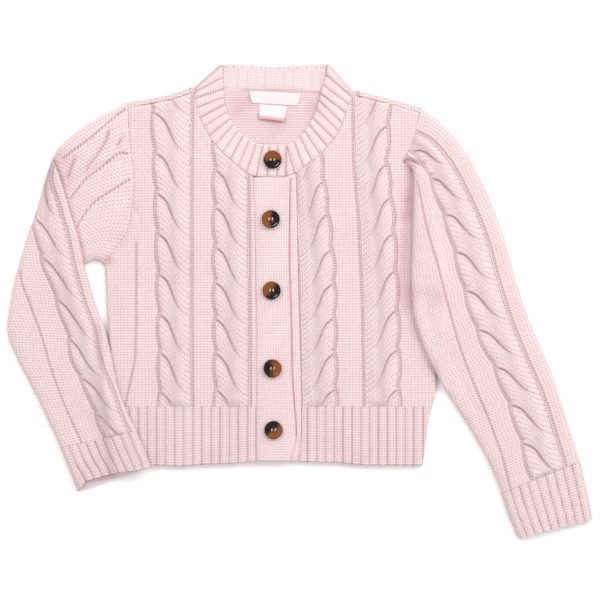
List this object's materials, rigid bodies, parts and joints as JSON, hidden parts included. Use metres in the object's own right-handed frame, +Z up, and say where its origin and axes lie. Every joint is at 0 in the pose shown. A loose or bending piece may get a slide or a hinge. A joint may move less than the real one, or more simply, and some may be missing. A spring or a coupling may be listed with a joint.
{
  "type": "cardigan",
  "caption": "Child's cable-knit cardigan in pale pink, buttoned up and laid flat on its back, its sleeves bent down at its sides.",
  "frame": {"origin": "on the surface it rests on, under the middle of its outline", "axes": "+X to the right as the front is seen (the wearer's left), +Y towards the neck, +Z up out of the front"},
  "size_m": [0.6091, 0.4949, 0.0159],
  "materials": {
    "knit": "matte",
    "button": "gloss",
    "label": "satin"
  },
  "bodies": {
    "root": {"back": "knit", "front_right": "knit", "front_left": "knit", "sleeve_right": "knit", "sleeve_left": "knit", "neckband": "knit", "buttonhole_band": "knit", "button_band": "knit", "button_1": "button", "button_2": "button", "button_3": "button", "button_4": "button", "button_5": "button", "label_main": "label", "label_size": "label"}
  },
  "joints": []
}
